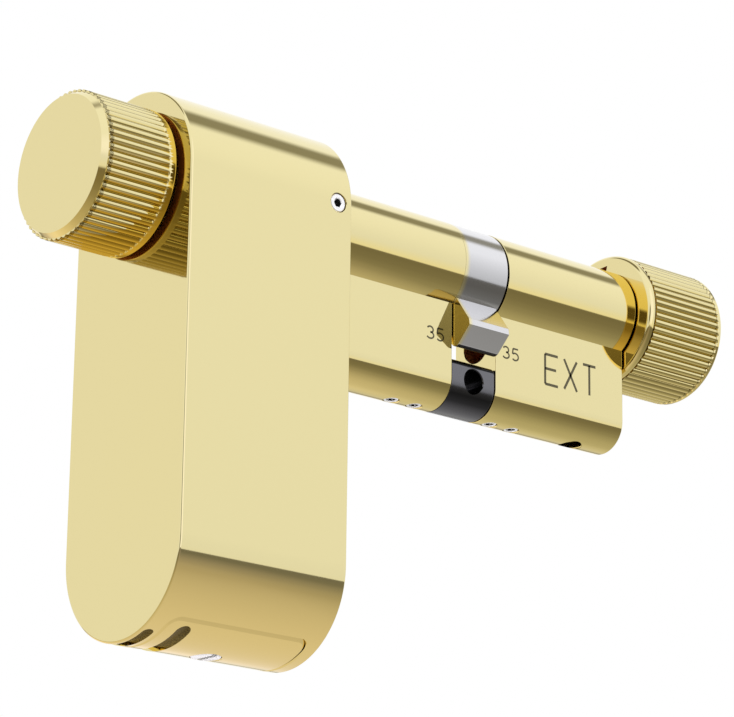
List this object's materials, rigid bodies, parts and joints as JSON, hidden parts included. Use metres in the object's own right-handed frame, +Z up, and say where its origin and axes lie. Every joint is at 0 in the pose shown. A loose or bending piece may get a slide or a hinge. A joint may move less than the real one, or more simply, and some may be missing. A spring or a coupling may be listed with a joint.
{
  "type": "electronic double knob lock cylinder",
  "caption": "Euro-profile lock cylinder for a deadbolt, with a turning cam, a fluted knob at each end and a slim battery and electronics module behind the indoor knob.",
  "frame": {"origin": "on the rotor axis, in the middle plane of the cam and of the fixing-screw hole", "axes": "+Y along the rotor axis from the indoor knob to the outdoor knob, +Z up, +X towards the flank with the size marks"},
  "size_m": [0.0292, 0.1348, 0.0877],
  "materials": {
    "polished_gold": "mirror-polished pale gold plating",
    "bright_nickel": "bright nickel",
    "dark_steel": "blackened steel",
    "plain_steel": "plain",
    "machined_brass": "machined",
    "black_plastic": "moulded black",
    "green_board": "solder resist",
    "cell_wrap": "printed sleeve, plain",
    "white_acetal": "moulded white"
  },
  "bodies": {
    "cylinder": {"indoor_half": "polished_gold", "outdoor_half": "polished_gold", "bridge_bar": "dark_steel", "bridge_screw_1": "plain_steel", "bridge_screw_2": "plain_steel", "bridge_screw_3": "plain_steel", "bridge_screw_4": "plain_steel", "module_shell": "polished_gold", "module_back_plate": "dark_steel", "back_screw_1": "plain_steel", "back_screw_2": "plain_steel", "back_screw_3": "plain_steel", "back_screw_4": "plain_steel", "module_side_screw": "plain_steel", "front_bush": "white_acetal", "cell_holder": "black_plastic", "gear_carrier": "black_plastic", "idler_axle": "plain_steel", "drive_motor": "plain_steel", "motor_cradle": "black_plastic", "circuit_board": "green_board", "radio_chip": "black_plastic", "board_connector": "white_acetal"},
    "indoor_knob": {"indoor_knob_cap": "polished_gold", "indoor_knob_sleeve": "polished_gold", "indoor_knob_hub": "machined_brass", "indoor_shaft": "plain_steel", "indoor_rotor": "machined_brass", "indoor_clip": "dark_steel", "main_gear": "machined_brass"},
    "cam": {"cam": "bright_nickel"},
    "idler": {"idler_gear": "white_acetal"},
    "pinion": {"motor_pinion": "machined_brass"},
    "outdoor_knob": {"outdoor_knob_back": "polished_gold", "outdoor_knob_sleeve": "polished_gold", "outdoor_knob_cap": "polished_gold", "outdoor_knob_hub": "machined_brass", "outdoor_knob_screw": "plain_steel", "outdoor_rotor": "machined_brass", "outdoor_clip": "dark_steel"},
    "clutch": {"clutch_pin": "plain_steel"},
    "battery_door": {"battery_door": "polished_gold", "door_contact": "machined_brass"},
    "door_screw": {"door_screw": "bright_nickel"},
    "front_cell": {"cell_front": "cell_wrap"},
    "rear_cell": {"cell_rear": "cell_wrap"}
  },
  "joints": [
    {"name": "indoor_knob_turn", "type": "hinge", "parent": "cylinder", "child": "indoor_knob", "pos_m": [0, -0.05, 0], "axis": [0, 1, 0], "continuous": true},
    {"name": "cam_turn", "type": "hinge", "parent": "cylinder", "child": "cam", "pos_m": [0, 0, 0], "axis": [0, 1, 0], "continuous": true},
    {"name": "idler_spin", "type": "hinge", "parent": "cylinder", "child": "idler", "pos_m": [-0.00813, -0.048, -0.00969], "axis": [0, 1, 0], "continuous": true},
    {"name": "pinion_spin", "type": "hinge", "parent": "cylinder", "child": "pinion", "pos_m": [-0.00236, -0.0497, -0.01329], "axis": [0, 1, 0], "continuous": true},
    {"name": "outdoor_knob_turn", "type": "hinge", "parent": "cylinder", "child": "outdoor_knob", "pos_m": [0, 0.03, 0], "axis": [0, 1, 0], "continuous": true},
    {"name": "clutch_slide", "type": "slide", "parent": "outdoor_knob", "child": "clutch", "axis": [0, -1, 0], "range_m": [0, 0.003]},
    {"name": "battery_door_slide", "type": "slide", "parent": "cylinder", "child": "battery_door", "axis": [0, 0, -1], "range_m": [0, 0.045]},
    {"name": "door_screw_turn", "type": "hinge", "parent": "battery_door", "child": "door_screw", "pos_m": [0, -0.05075, -0.0715], "axis": [0, 0, -1], "range_deg": [0, 720]},
    {"name": "front_cell_slide", "type": "slide", "parent": "cylinder", "child": "front_cell", "axis": [0, 0, -1], "range_m": [0, 0.045]},
    {"name": "rear_cell_slide", "type": "slide", "parent": "cylinder", "child": "rear_cell", "axis": [0, 0, -1], "range_m": [0, 0.045]}
  ],
  "couplings": [
    {"joint": "cam_turn", "follows": "indoor_knob_turn", "ratio": 1},
    {"joint": "idler_spin", "follows": "indoor_knob_turn", "ratio": -2.5},
    {"joint": "pinion_spin", "follows": "indoor_knob_turn", "ratio": 5},
    {"joint": "front_cell_slide", "follows": "battery_door_slide", "ratio": 1},
    {"joint": "rear_cell_slide", "follows": "battery_door_slide", "ratio": 1}
  ]
}
